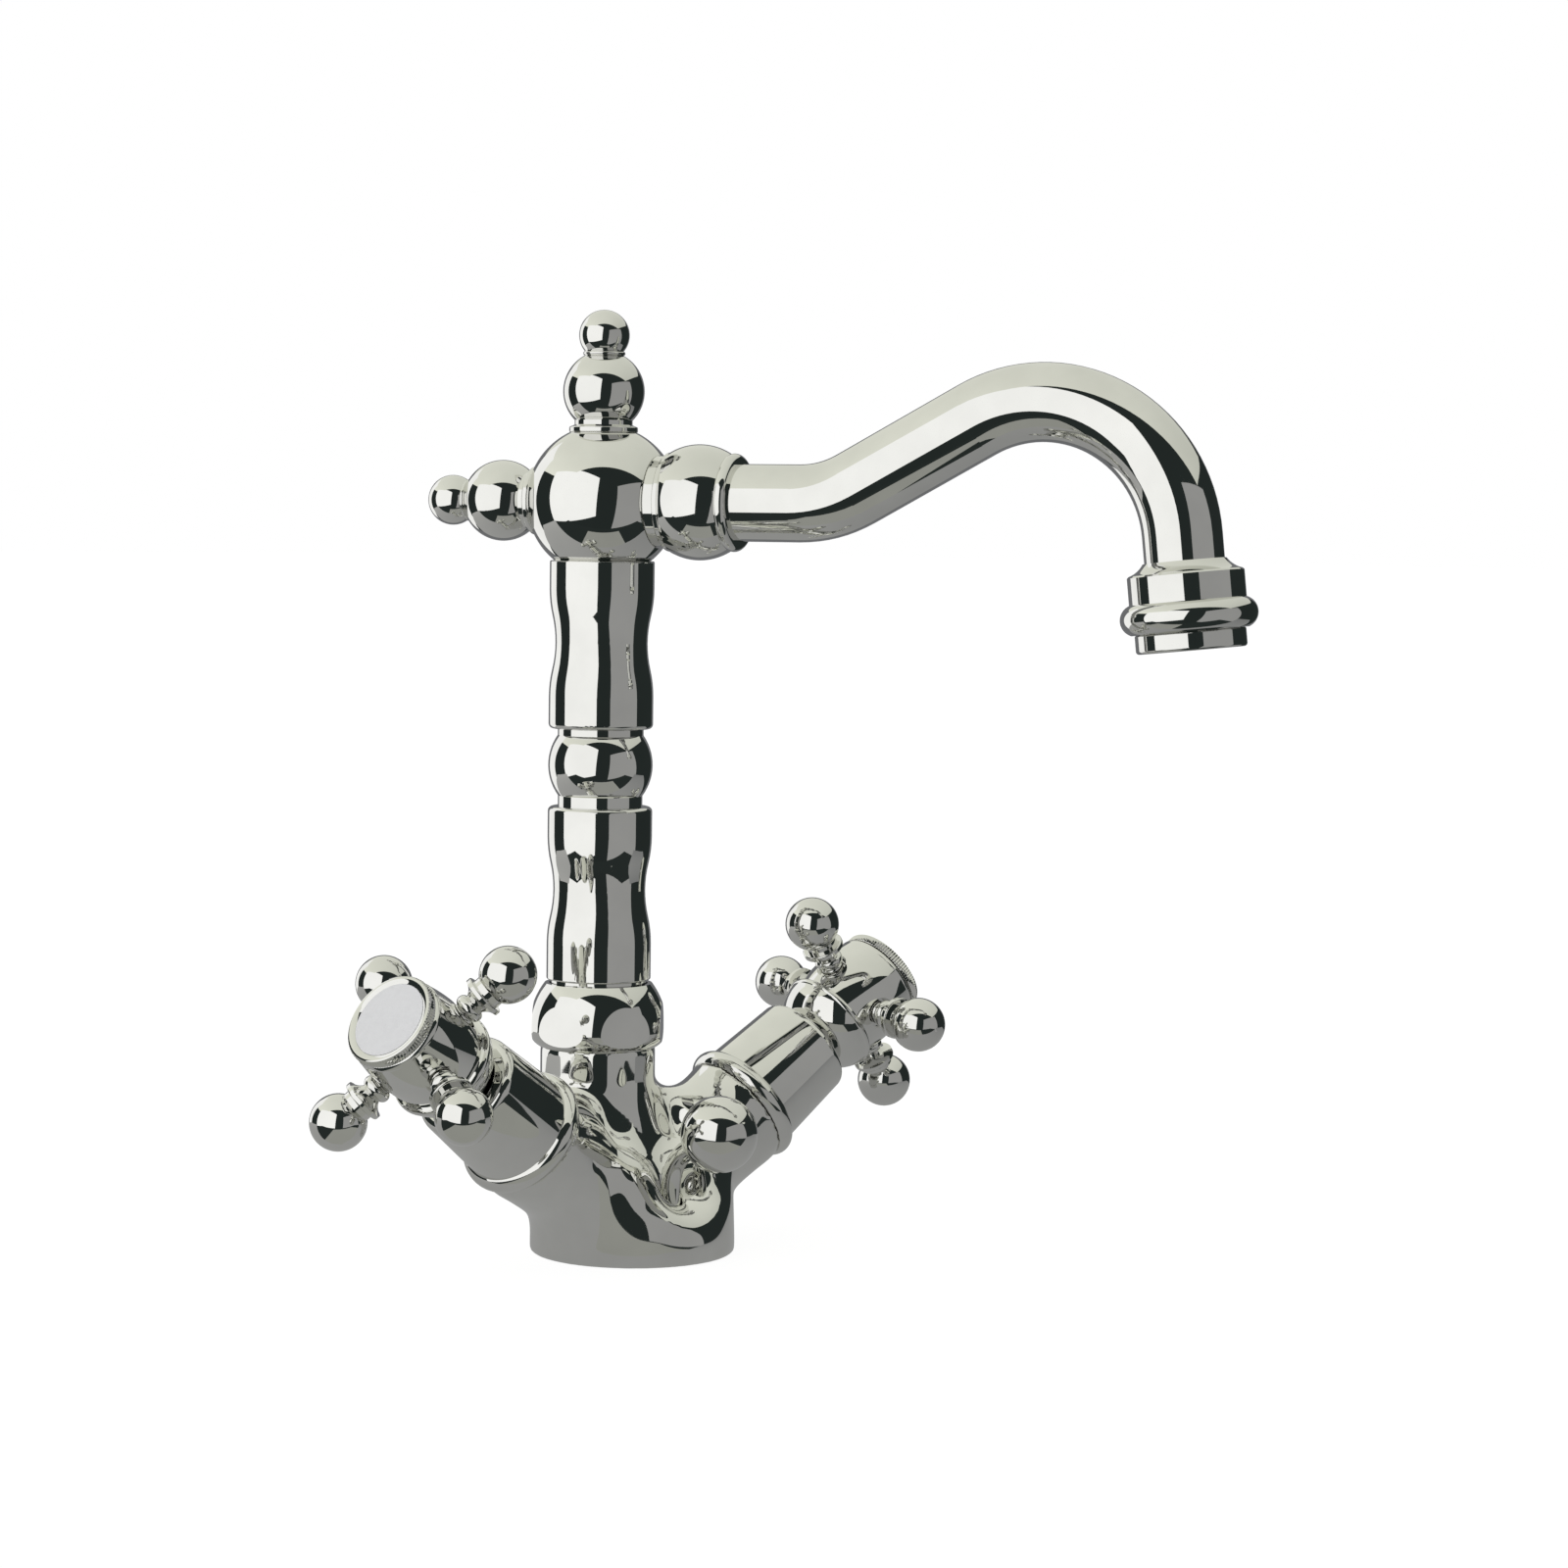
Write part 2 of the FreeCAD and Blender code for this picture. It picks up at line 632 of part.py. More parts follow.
def spout_collar():
    """Turned piece that holds the tube: stepped rings, a ball and a rounded rim."""
    step = COLLAR_SEAT + COLLAR_RING_L
    lip_r = COLLAR_STEP_R + COLLAR_LIP
    ball_low = COLLAR_BALL - chord(COLLAR_R, lip_r)
    return turned(
        (COLUMN_BORE_R, COLLAR_SEAT - STUB_L), (SPIGOT_R, COLLAR_SEAT - STUB_L), (SPIGOT_R, COLLAR_SEAT),
        *lower_edge(COLLAR_SEAT_R, COLLAR_SEAT, EDGE), (COLLAR_SEAT_R, step),
        *lower_edge(COLLAR_STEP_R, step, EDGE), (COLLAR_STEP_R, ball_low - EDGE), (lip_r, ball_low),
        ((COLLAR_R, COLLAR_BALL), (RIM_R, RIM_LOW)),
        bow((RIM_R, RIM_LOW), (TUBE_R + RIM_LIP, RIM_TOP), RIM_LIP), (TUBE_R, RIM_TOP), (TUBE_R, TUBE_FROM),
        (COLUMN_BORE_R, TUBE_FROM))


def spout_path():
    """Middle line of the tube in its own upright plane: its wire, its end and its heading there."""
    climb = math.radians(SPOUT_CLIMB)
    fall = math.radians(OUTLET_TILT - 90)
    lean = climb / 2
    over = (climb + fall) / 2
    a = V(TUBE_FROM, 0, 0)
    b = V(SPOUT_FLAT, 0, 0)
    up = b + V(0, 0, LOW_BEND_R)
    low_mid = up + V(math.sin(lean), 0, -math.cos(lean)) * LOW_BEND_R
    c = up + V(math.sin(climb), 0, -math.cos(climb)) * LOW_BEND_R
    d = c + V(math.cos(climb), 0, math.sin(climb)) * SPOUT_SLOPE
    hub_at = d + V(math.sin(climb), 0, -math.cos(climb)) * TOP_BEND_R
    top_mid = hub_at + V(-math.sin(over), 0, math.cos(over)) * TOP_BEND_R
    e = hub_at + V(-math.sin(fall), 0, math.cos(fall)) * TOP_BEND_R
    heading = V(math.cos(fall), 0, math.sin(fall))
    f = e + heading * SPOUT_DROP
    wire = Part.Wire([
        Part.makeLine(a, b), Part.Arc(b, low_mid, c).toShape(), Part.makeLine(c, d),
        Part.Arc(d, top_mid, e).toShape(), Part.makeLine(e, f)])
    return wire, f, heading


def spout_tube():
    path = spout_path()[0]
    start = path.Vertexes[0].Point
    skins = []
    for radius in (TUBE_R, TUBE_R - TUBE_WALL):
        circle = Part.Wire(Part.makeCircle(radius, start, V(1, 0, 0)))
        skins.append(path.makePipeShell([circle], True, True))
    return put(skins[0].cut(skins[1]), SPOUT_PLACE)


def at_outlet(shape):
    """Lay a piece turned about Z on the end of the tube, its +Z pointing out of the spout."""
    path, end, heading = spout_path()
    return put(put(shape, along(end, heading)), SPOUT_PLACE)


def outlet_ferrule():
    shoulder = FERRULE_CAP - FERRULE_UP
    bead_low = FERRULE_DOWN - OUTLET_BEAD_L
    bulge = OUTLET_BEAD_R - OUTLET_R
    cap = (TUBE_R + EDGE, -FERRULE_UP)
    return at_outlet(turned(
        (TUBE_R, -FERRULE_UP), cap, bow(cap, (OUTLET_R - EDGE, shoulder), -EDGE), (OUTLET_R, shoulder + EDGE),
        (OUTLET_R, bead_low), bow((OUTLET_R, bead_low), (OUTLET_R, FERRULE_DOWN), bulge),
        (AERATOR_R, FERRULE_DOWN), (AERATOR_R, 0), (TUBE_R, 0)))


def aerator_housing():
    skirt = AERATOR_SKIRT_R
    return at_outlet(turned(
        (AERATOR_BORE_R, AERATOR_WASHER_T), (AERATOR_R, AERATOR_WASHER_T), (AERATOR_R, FERRULE_DOWN),
        *lower_edge(skirt, FERRULE_DOWN, EDGE), *upper_edge(skirt, AERATOR_END, 2 * EDGE),
        (AERATOR_LIP_R, AERATOR_END), (AERATOR_LIP_R, GRID_SEAT), (AERATOR_BORE_R, GRID_SEAT)))


def aerator_insert():
    """Flow straightener: a cup with a grid of holes in its floor."""
    cup = rod(AERATOR_BORE_R, AERATOR_WASHER_T, GRID_SEAT)
    cup = cup.cut(rod(AERATOR_BORE_R - GRID_WALL, AERATOR_WASHER_T, GRID_SEAT - GRID_T))
    row_pitch = GRID_PITCH * math.sqrt(3) / 2
    rows = math.ceil(GRID_FIELD_R / row_pitch)
    holes = []
    for row in range(-rows, rows + 1):
        for place in range(-rows, rows + 1):
            x = GRID_PITCH * (place + row % 2 / 2)
            y = row_pitch * row
            if math.hypot(x, y) < GRID_FIELD_R:
                holes.append(Part.makeCylinder(GRID_HOLE_R, GRID_T, V(x, y, GRID_SEAT - GRID_T)))
    return at_outlet(cup.cut(holes))


def aerator_washer():
    return at_outlet(ring(AERATOR_R - FIT, TUBE_R - TUBE_WALL, 0, AERATOR_WASHER_T))


# Valve and handle pieces are drawn about Z, with Z = 0 on the end face of the arm and +Z outwards
def shroud():
    foot_bore = SHROUD_FOOT_R - SHROUD_WALL
    top_bore = SHROUD_TOP_R - SHROUD_WALL
    roof = SHROUD_H - SHROUD_SHOULDER
    bulge = SHROUD_BEAD_R - (ARM_R + SHROUD_FOOT_R) / 2
    return turned(
        (foot_bore, 0), (ARM_R, 0), bow((ARM_R, 0), (SHROUD_FOOT_R, SHROUD_BEAD_L), bulge),
        *upper_edge(SHROUD_TOP_R, SHROUD_H, SHROUD_SHOULDER),
        (SHROUD_HOLE_R, SHROUD_H), (SHROUD_HOLE_R, roof),
        (top_bore, roof - SHROUD_WALL), (foot_bore, SHROUD_BEAD_L))


def cartridge():
    """Headwork: neck, hexagon, flange that sits on the arm, barrel with side windows round the discs."""
    flange_r = SHROUD_FOOT_R - SHROUD_WALL - GAP
    ceiling = DRIVE_TOP + DRIVE_PLAY
    solid = rod(HEADWORK_NECK_R, 0, HEADWORK_TOP)
    solid = solid.fuse(hexagon(HEX_FLATS, SEAT_FLANGE_T, SEAT_FLANGE_T + HEX_H))
    solid = solid.fuse([rod(flange_r, 0, SEAT_FLANGE_T), rod(VALVE_BORE_R - GAP, BORE_END - VALVE_SEAT, 0)])
    solid = solid.cut(rod(DISC_BED_R, -VALVE_SEAT, ceiling))
    solid = solid.cut(rod(SPINDLE_R + FIT, ceiling, HEADWORK_TOP))
    wide = 2 * VALVE_BORE_R
    window = Part.makeBox(wide, WINDOW_W, MOVING_DISC_H, V(-wide / 2, -WINDOW_W / 2, FIXED_TOP))
    return solid.cut(window)


def fixed_disc():
    disc = rod(DISC_BED_R, SEAL_TOP, FIXED_TOP)
    ports = [Part.makeCylinder(PORT_R, FIXED_DISC_H, V(x, 0, SEAL_TOP)) for x in (-PORT_AT, PORT_AT)]
    return disc.cut(ports)


def seat_seal():
    return ring(DISC_R, SEAT_SEAL_R, -VALVE_SEAT, SEAL_TOP)


def moving_disc():
    """Its slot joins both ports when the handle is open."""
    length = 2 * (PORT_AT + PORT_R)
    slot = Part.makeBox(length, 2 * PORT_R, MOVING_DISC_H / 2, V(-length / 2, -PORT_R, FIXED_TOP))
    return rod(DISC_R, FIXED_TOP, MOVING_TOP).cut(slot)


def spindle():
    shaft = rod(SPINDLE_R, MOVING_TOP, SPINDLE_TOP).fuse(rod(DISC_R, MOVING_TOP, DRIVE_TOP))
    return shaft.cut(rod(SCREW_R, SPINDLE_TOP - SCREW_L, SPINDLE_TOP))


def handle_screw():
    head_top = SCREW_HEAD_LOW + SCREW_HEAD_H
    head = turned((0, SCREW_HEAD_LOW), (SCREW_HEAD_R, SCREW_HEAD_LOW),
                  *upper_edge(SCREW_HEAD_R, head_top, SCREW_HEAD_H / 2), (0, head_top))
    return head.fuse(rod(SCREW_R, SPINDLE_TOP - SCREW_L, SCREW_HEAD_LOW))


def hub():
    """Turned boss: neck and bowl at the back, sharp rim, slightly barrelled side, seat for the index ring."""
    z = CROSS_Z
    neck = SHROUD_HOLE_R - HUB_NECK_PLAY
    bowl = (neck, z - HUB_BOWL)
    rim = (HUB_RIM_R, z - HUB_RIM_AT)
    rim_end = (HUB_RIM_R, rim[1] + HUB_RIM_L)
    waist = (HUB_WAIST_R, rim_end[1] + EDGE)
    shoulder = (HUB_WAIST_R, HUB_TOP - 4 * EDGE)
    floor = HUB_TOP - INDEX_SUNK
    boss = turned(
        (SPINDLE_R, HUB_LOW), *lower_edge(neck, HUB_LOW, EDGE), bowl, bow(bowl, rim, 2 * EDGE),
        bow(rim, rim_end, HUB_RIM_BOW), bow(rim_end, waist, -EDGE / 4),
        bow(waist, shoulder, HUB_R - HUB_WAIST_R), bow(shoulder, (RECESS_R + EDGE, HUB_TOP), EDGE),
        (RECESS_R, HUB_TOP), (RECESS_R, floor), (SCREW_WELL_R, floor), (SCREW_WELL_R, SCREW_HEAD_LOW),
        (SCREW_R + GAP, SCREW_HEAD_LOW), (SCREW_R + GAP, SPINDLE_TOP), (SPINDLE_R, SPINDLE_TOP))
    dimple = rod(SPOKE_DIMPLE_R, ROOT_AT, HUB_R + SPOKE_ROOT)
    dimple = dimple.fuse(rod(SPOKE_PEG_R, ROOT_AT - SPOKE_PEG_L, ROOT_AT))
    return boss.cut(around(dimple))


def spokes():
    """Four turned spokes: peg, small bead, large bead, flared collar, short neck, end ball."""
    a = ROOT_AT
    ball = SPOKE_BALL_AT
    bead_end = a + SPOKE_BEAD_L
    ring_end = bead_end + SPOKE_RING_L
    collar = ring_end + SPOKE_FLARE_L
    collar_end = collar + SPOKE_COLLAR_L
    neck = SPOKE_NECK_R
    stem = chord(SPOKE_BALL_R, SPOKE_JOIN)
    one = turned(
        (0, a - SPOKE_PEG_L), (SPOKE_PEG_R, a - SPOKE_PEG_L), (SPOKE_PEG_R, a), (neck, a),
        bow((neck, a), (neck, bead_end), SPOKE_BEAD_R - neck),
        bow((neck, bead_end), (neck, ring_end), SPOKE_RING_R - neck),
        bow((neck, ring_end), (SPOKE_COLLAR_R, collar), -EDGE),
        *upper_edge(SPOKE_COLLAR_R, collar_end, EDGE), (stem, collar_end),
        (stem, ball - SPOKE_JOIN), ((SPOKE_BALL_R, ball), (0, ball + SPOKE_BALL_R)))
    return Part.makeCompound(around(one))


def index_ring():
    """Milled ring pressed into the hub, with a ledge for the disc."""
    ledge = HUB_TOP + DISC_UP
    top = HUB_TOP + INDEX_H
    inner = DISC_WELL_R - INDEX_LEDGE_W
    return turned(
        (inner, HUB_TOP - INDEX_SUNK), (RECESS_R, HUB_TOP - INDEX_SUNK), (RECESS_R, HUB_TOP),
        (INDEX_R, HUB_TOP), *upper_edge(INDEX_R, top, 2 * EDGE), (DISC_WELL_R, top - EDGE),
        (DISC_WELL_R, ledge), (inner, ledge))


def index_disc():
    return rod(DISC_WELL_R - FIT, HUB_TOP + DISC_UP, HUB_TOP + DISC_UP + DISC_T)


# Lift rod and its guide
def rod_path():
    """Middle line of the lift rod: its wire, the centre of its knob and its heading there."""
    lean = math.radians(ROD_LEAN_ANGLE)
    turn = math.pi / 2 - lean
    foot = V(0, ROD_Y, ROD_FOOT)
    bend = V(0, ROD_Y, ROD_UPRIGHT)
    middle = bend - V(0, ROD_BEND_R, 0)
    half = middle + V(0, math.cos(turn / 2), math.sin(turn / 2)) * ROD_BEND_R
    done = middle + V(0, math.cos(turn), math.sin(turn)) * ROD_BEND_R
    heading = V(0, -math.cos(lean), math.sin(lean))
    end = done + heading * (ROD_REACH - KNOB_DEPTH)
    arc = Part.Arc(bend, half, done).toShape()
    wire = Part.Wire([Part.makeLine(foot, bend), arc, Part.makeLine(done, end)])
    return wire, done + heading * ROD_REACH, heading


def lift_rod():
    path = rod_path()[0]
    circle = Part.Wire(Part.makeCircle(ROD_R, path.Vertexes[0].Point, UP))
    return path.makePipeShell([circle], True, True)


def lift_knob():
    path, centre, heading = rod_path()
    face = -chord(KNOB_R, KNOB_FACE_R)
    low = face - KNOB_COLLAR_L
    knob = turned(
        (ROD_R, low), *lower_edge(KNOB_COLLAR_R, low, EDGE), (KNOB_COLLAR_R, face), (KNOB_FACE_R, face),
        ((KNOB_R, 0), (0, KNOB_R)), (0, -KNOB_DEPTH), (ROD_R, -KNOB_DEPTH))
    return put(knob, along(centre, heading))


def rod_bush():
    bush = ring(BUSH_R, ROD_R + FIT, BUSH_LOW, BUSH_TOP)
    return put(bush, FreeCAD.Placement(V(0, ROD_Y, 0), FreeCAD.Rotation()))


pieces = {
    "body_casting": body_casting(),
    "foot_seal": foot_seal(),
    "rod_bush": rod_bush(),
    "union_nut": on_column(union_nut()),
    "swivel_washers": on_column(swivel_washers()),
    "column": on_column(column()),
    "column_rings": on_column(Part.makeCompound(o_rings())),
    "spout_ball": spout_ball(),
    "top_finial": put(finial(), along(BALL_CENTRE + UP * FINIAL_SEAT, UP)),
    "rear_finial": put(finial(), along(BALL_CENTRE - SPOUT_DIR * FINIAL_SEAT, SPOUT_DIR * -1)),
    "spout_collar": put(spout_collar(), along(BALL_CENTRE, SPOUT_DIR)),
    "spout_tube": spout_tube(),
    "outlet_ferrule": outlet_ferrule(),
    "aerator_housing": aerator_housing(),
    "aerator_insert": aerator_insert(),
    "aerator_washer": aerator_washer(),
    "lift_rod": lift_rod(),
    "lift_knob": lift_knob(),
}
sides = (
    ("hot", HOT_END, HOT_AXIS, HOT_SPIN_ANGLE),
    ("cold", COLD_END, COLD_AXIS, COLD_SPIN_ANGLE),
)
for name, end, axis, spin in sides:
    fixed = along(end, axis)
    turning = along(end, axis, spin)
    pieces[name + "_cartridge"] = put(cartridge(), fixed)
    pieces[name + "_fixed_disc"] = put(fixed_disc(), fixed)
    pieces[name + "_seat_seal"] = put(seat_seal(), fixed)
    pieces[name + "_shroud"] = put(shroud(), fixed)
    pieces[name + "_moving_disc"] = put(moving_disc(), turning)
    pieces[name + "_spindle"] = put(spindle(), turning)
    pieces[name + "_hub"] = put(hub(), turning)
    pieces[name + "_spokes"] = put(spokes(), turning)
    pieces[name + "_handle_screw"] = put(handle_screw(), turning)
    pieces[name + "_index_ring"] = put(index_ring(), turning)
    pieces[name + "_index_disc"] = put(index_disc(), turning)

os.makedirs("parts", exist_ok=True)
for node, shape in pieces.items():
    shape.exportStep("parts/" + node + ".step")
    box = shape.BoundBox
    print(node, shape.isValid(), len(shape.Solids), round(shape.Volume),
          [round(v, 1) for v in (box.XMin, box.XMax, box.YMin, box.YMax, box.ZMin, box.ZMax)])
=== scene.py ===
# %% [markdown]
# # A chrome basin mixer
# This lesson dresses a finished CAD model of a traditional basin tap. The solids come in as a fixed
# frame: every node already has its true size and place, so Blender only adds what the eye needs, which
# is the finish of each surface, the milled rings, the polished skin of the body, a small studio and a camera.

# %% Load the frame
import json
import math

import bpy
from mathutils import Matrix, Vector


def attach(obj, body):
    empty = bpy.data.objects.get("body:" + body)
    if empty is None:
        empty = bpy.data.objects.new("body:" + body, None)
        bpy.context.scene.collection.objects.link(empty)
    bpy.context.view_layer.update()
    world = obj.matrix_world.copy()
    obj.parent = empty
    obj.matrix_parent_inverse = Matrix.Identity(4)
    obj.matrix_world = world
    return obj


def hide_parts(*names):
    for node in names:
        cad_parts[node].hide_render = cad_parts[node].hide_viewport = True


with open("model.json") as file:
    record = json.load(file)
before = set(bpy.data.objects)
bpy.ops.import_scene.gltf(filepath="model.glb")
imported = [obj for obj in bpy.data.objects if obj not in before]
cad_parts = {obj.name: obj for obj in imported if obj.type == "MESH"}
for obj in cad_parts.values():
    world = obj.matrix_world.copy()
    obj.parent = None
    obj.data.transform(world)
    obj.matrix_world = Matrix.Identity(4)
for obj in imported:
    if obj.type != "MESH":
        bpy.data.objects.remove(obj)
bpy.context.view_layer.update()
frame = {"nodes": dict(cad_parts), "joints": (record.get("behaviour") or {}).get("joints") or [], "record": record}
nodes = frame["nodes"]
scene = bpy.context.scene

# %% [markdown]
# ## Colours and nodes
# Colours are easiest to read as the hex codes of a paint chart. Shaders want linear light, so one
# function turns a code into linear numbers. A second small function adds a shader node, sets its
# values and joins its inputs, which keeps each finish short enough to read as a recipe.

# %% Two helpers for every finish
MM = 0.001


def paint(code):
    """Linear red, green, blue and alpha of an sRGB hex code."""
    parts = [int(code[i:i + 2], 16) / 255 for i in (1, 3, 5)]
    return [c / 12.92 if c <= 0.04045 else ((c + 0.055) / 1.055) ** 2.4 for c in parts] + [1.0]


def node(tree, kind, inputs=None, **settings):
    """Add a node; inputs maps a socket's name or number to a value or to another node's output."""
    made = tree.nodes.new(kind)
    for name, value in settings.items():
        setattr(made, name, value)
    for socket, value in (inputs or {}).items():
        if isinstance(value, bpy.types.NodeSocket):
            tree.links.new(value, made.inputs[socket])
        else:
            made.inputs[socket].default_value = value
    return made


def finish(name):
    """A fresh material with its output and a Principled surface; returns material, tree and surface."""
    material = bpy.data.materials.new(name)
    material.use_nodes = True
    tree = material.node_tree
    surface = tree.nodes["Principled BSDF"]
    return material, tree, surface


print("white is", [round(c, 3) for c in paint("#ffffff")])

# %% [markdown]
# ## Polished chrome plate
# Chrome on polished brass is almost a mirror. What makes it look real is what a perfect mirror lacks:
# the brass under the plate is very slightly wavy, and wiping leaves faint hazy clouds. Noise in the
# roughness gives the clouds, and a weak bump gives the waves.

# %% Polished chrome plate
CLOUD_MM = 14


def chrome_plate(name, wave_mm, haze):
    """A near mirror: waves of a real width in the metal, and haze as the roughest it gets where wiped."""
    material, tree, surface = finish(name)
    place = node(tree, "ShaderNodeTexCoord")
    cloud = node(tree, "ShaderNodeTexNoise", {"Vector": place.outputs["Object"], "Scale": 1 / (CLOUD_MM * MM),
                                              "Detail": 3.0, "Roughness": 0.55})
    hazes = node(tree, "ShaderNodeMapRange", {"Value": cloud.outputs["Fac"], "From Min": 0.35,
                                              "From Max": 0.75, "To Min": 0.012, "To Max": haze})
    tints = node(tree, "ShaderNodeValToRGB", {"Fac": cloud.outputs["Fac"]})
    tints.color_ramp.elements[0].position = 0.3
    tints.color_ramp.elements[0].color = paint("#dcdcd8")
    tints.color_ramp.elements[1].position = 0.7
    tints.color_ramp.elements[1].color = paint("#e4e4e0")
    waves = node(tree, "ShaderNodeTexNoise", {"Vector": place.outputs["Object"], "Scale": 1 / (wave_mm * MM),
                                              "Detail": 1.0, "Roughness": 0.4})
    relief = node(tree, "ShaderNodeBump", {"Height": waves.outputs["Fac"], "Strength": 0.035,
                                           "Distance": 0.1 * MM})
    tree.links.new(tints.outputs["Color"], surface.inputs["Base Color"])
    tree.links.new(hazes.outputs["Result"], surface.inputs["Roughness"])
    tree.links.new(relief.outputs["Normal"], surface.inputs["Normal"])
    surface.inputs["Metallic"].default_value = 1.0
    return material


turned_chrome = chrome_plate("chrome_on_turned_brass", 9.0, 0.04)
cast_chrome = chrome_plate("chrome_on_cast_brass", 16.0, 0.05)
print("made", turned_chrome.name, "and", cast_chrome.name)

# %% [markdown]
# ## The other materials
# Most of these are hidden inside the tap, yet each gets the surface it really has: the index disc is
# pale enamel with a soft grain, the headworks are turned brass with fine tool marks, the ceramic discs
# are lapped, the seals are moulded rubber and the guides are natural nylon. One recipe serves them all:
# a noise as fine as the real grain moves the colour, the roughness and a slight relief together.

# %% Enamel, brass, steel, ceramic, nylon and rubber
def grained(name, low, high, grain_mm, rough, metallic=0.0, relief=0.1, coat=0.0):
    """A surface whose colour and roughness vary with a grain of a real size."""
    material, tree, surface = finish(name)
    place = node(tree, "ShaderNodeTexCoord")
    grain = node(tree, "ShaderNodeTexNoise", {"Vector": place.outputs["Object"], "Scale": 1 / (grain_mm * MM),
                                              "Detail": 4.0, "Roughness": 0.6})
    tones = node(tree, "ShaderNodeValToRGB", {"Fac": grain.outputs["Fac"]})
    tones.color_ramp.elements[0].position = 0.3
    tones.color_ramp.elements[0].color = paint(low)
    tones.color_ramp.elements[1].position = 0.7
    tones.color_ramp.elements[1].color = paint(high)
    spread = node(tree, "ShaderNodeMapRange", {"Value": grain.outputs["Fac"], "To Min": rough * 0.85,
                                               "To Max": rough * 1.15})
    bumps = node(tree, "ShaderNodeBump", {"Height": grain.outputs["Fac"], "Strength": relief,
                                          "Distance": 0.05 * MM})
    tree.links.new(tones.outputs["Color"], surface.inputs["Base Color"])
    tree.links.new(spread.outputs["Result"], surface.inputs["Roughness"])
    tree.links.new(bumps.outputs["Normal"], surface.inputs["Normal"])
    surface.inputs["Metallic"].default_value = metallic
    surface.inputs["Coat Weight"].default_value = coat
    return material


# fired enamel: pale and even, under a thin gloss
enamel = grained("pale_enamel", "#d6d6db", "#dbdbe0", 1.8, 0.32, relief=0.01, coat=0.3)
# turned brass: warm metal, dulled by the marks of the tool
brass = grained("turned_brass", "#b08a45", "#c29a52", 0.8, 0.28, metallic=1.0)
# stainless steel: grey metal with a fine rolled grain
steel = grained("stainless_steel", "#9a9a98", "#a9a9a6", 0.6, 0.3, metallic=1.0)
# lapped ceramic: off-white and so flat that it almost shines
ceramic = grained("lapped_ceramic", "#dbd6cc", "#e3dfd6", 0.4, 0.2)
# natural nylon: milky, with the soft gloss of a mould
nylon = grained("natural_nylon", "#cfcfca", "#dadad5", 1.2, 0.45)
# moulded rubber: near black and matt
rubber = grained("black_seal_rubber", "#151515", "#1f1f1f", 0.7, 0.6)
print("made", [m.name for m in (enamel, brass, steel, ceramic, nylon, rubber)])

# %% [markdown]
# ## Which finish goes where
# The record names a material slot for each node, so the slots are turned into finishes in one pass.
# The body is a casting, so its plate is a little wavier than that of the turned pieces.

# %% Dress the CAD nodes
slot_finish = {"chrome": turned_chrome, "brass": brass, "steel": steel, "ceramic": ceramic,
               "enamel": enamel, "nylon": nylon, "seal_rubber": rubber}
for part in frame["record"]["subparts"]:
    mesh = nodes[part["node"]].data
    mesh.materials.clear()
    plated_casting = part["node"] == "body_casting"
    mesh.materials.append(cast_chrome if plated_casting else slot_finish[part["material_slot"]])

# %% [markdown]
# ## Milled rings
# The ring around each index disc is milled: its side has a hundred fine straight teeth for wet fingers.
# A circle with two corners for each tooth is drawn on loop by loop along the ring's outline: each step
# extrudes the loop, scales it to the next radius and lifts it to the next height. Bridging the last loop
# to the first closes the ring. Then every second corner of the side moves in by the depth of a tooth.

# %% Milled index rings
TEETH = 100
TOOTH_DEPTH = 0.3
RING_R = 11.5
TOOTHED_FROM_R = 11.3
RING_SEAT = 54.1
# radius and height of each loop in mm: spigot, side, rounded lip, and the recess that holds the disc
OUTLINE = [(8.3, -2.8), (10.2, -2.8), (10.2, 0.0), (11.25, 0.0), (RING_R, 0.2), (RING_R, 1.7), (11.36, 2.02),
           (11.1, 2.36), (10.75, 2.48), (10.4, 2.46), (9.5, 2.2), (9.3, 2.05), (9.3, 1.0), (8.3, 1.0)]


